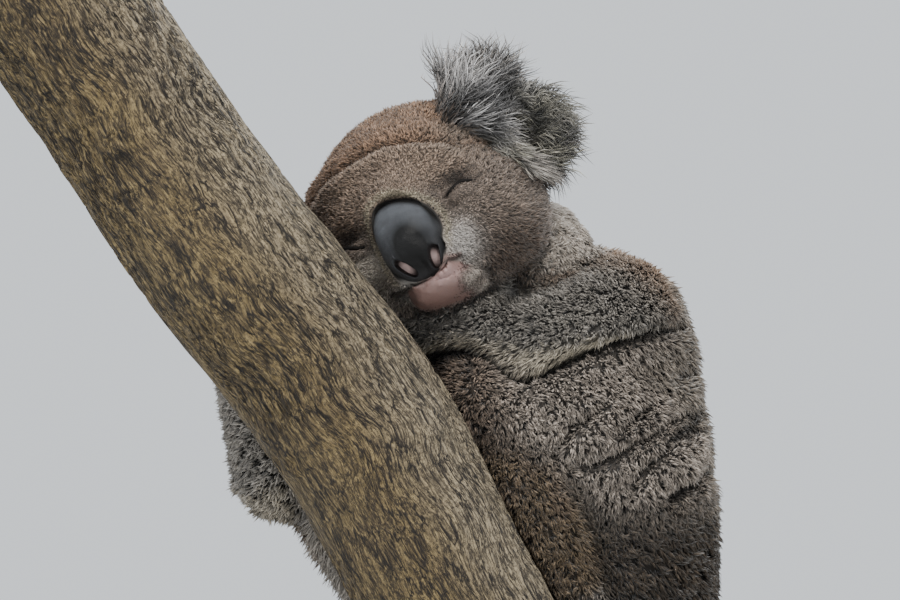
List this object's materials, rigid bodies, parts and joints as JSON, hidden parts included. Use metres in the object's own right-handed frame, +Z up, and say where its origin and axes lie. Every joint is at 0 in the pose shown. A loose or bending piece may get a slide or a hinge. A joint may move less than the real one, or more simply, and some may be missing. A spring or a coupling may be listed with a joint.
{
  "type": "koala",
  "caption": "Sleeping koala that hugs a sloping forked branch with both arms and legs, on a plain display stand with a flat base.",
  "frame": {"origin": "middle of the underside of the stand's base, on the floor", "axes": "+Z up; the koala faces -Y; the branch rises towards -X; the koala's own left arm and leg are on the -Y side"},
  "size_m": [0.5478, 0.34, 0.6739],
  "materials": {
    "coat": "dense woolly grey-brown fur",
    "face_coat": "short close brown-grey fur",
    "ear_coat": "long pale-tipped grey hair",
    "nose_leather": "bare finely pebbled skin, slightly glossy",
    "lip": "bare pink skin under thin pale down",
    "horn": "smooth dark claw horn",
    "bark": "rough fissured grey-tan bark, sawn pale ends",
    "stained_wood": "dark stained wood, satin",
    "steel": "brushed"
  },
  "bodies": {
    "root": {"claw_foot_left_2": "horn", "claw_foot_left_3": "horn", "claw_foot_left_4": "horn", "claw_foot_left_5": "horn", "claw_foot_right_2": "horn", "claw_foot_right_3": "horn", "claw_foot_right_4": "horn", "claw_foot_right_5": "horn", "claw_hand_left_1": "horn", "claw_hand_left_2": "horn", "claw_hand_left_3": "horn", "claw_hand_left_4": "horn", "claw_hand_left_5": "horn", "claw_hand_right_1": "horn", "claw_hand_right_2": "horn", "claw_hand_right_3": "horn", "claw_hand_right_4": "horn", "claw_hand_right_5": "horn", "ear_left": "ear_coat", "ear_right": "ear_coat", "eyelid_left": "face_coat", "eyelid_right": "face_coat", "foot_left": "coat", "foot_right": "coat", "forearm_left": "coat", "forearm_right": "coat", "hand_left": "coat", "hand_right": "coat", "head": "face_coat", "jaw": "lip", "neck": "coat", "nose": "nose_leather", "perch_fork": "bark", "perch_limb": "bark", "shank_left": "coat", "shank_right": "coat", "stand_base": "stained_wood", "stand_rod_a": "steel", "stand_rod_b": "steel", "thigh_left": "coat", "thigh_right": "coat", "trunk": "coat", "upper_arm_left": "coat", "upper_arm_right": "coat"}
  },
  "joints": []
}
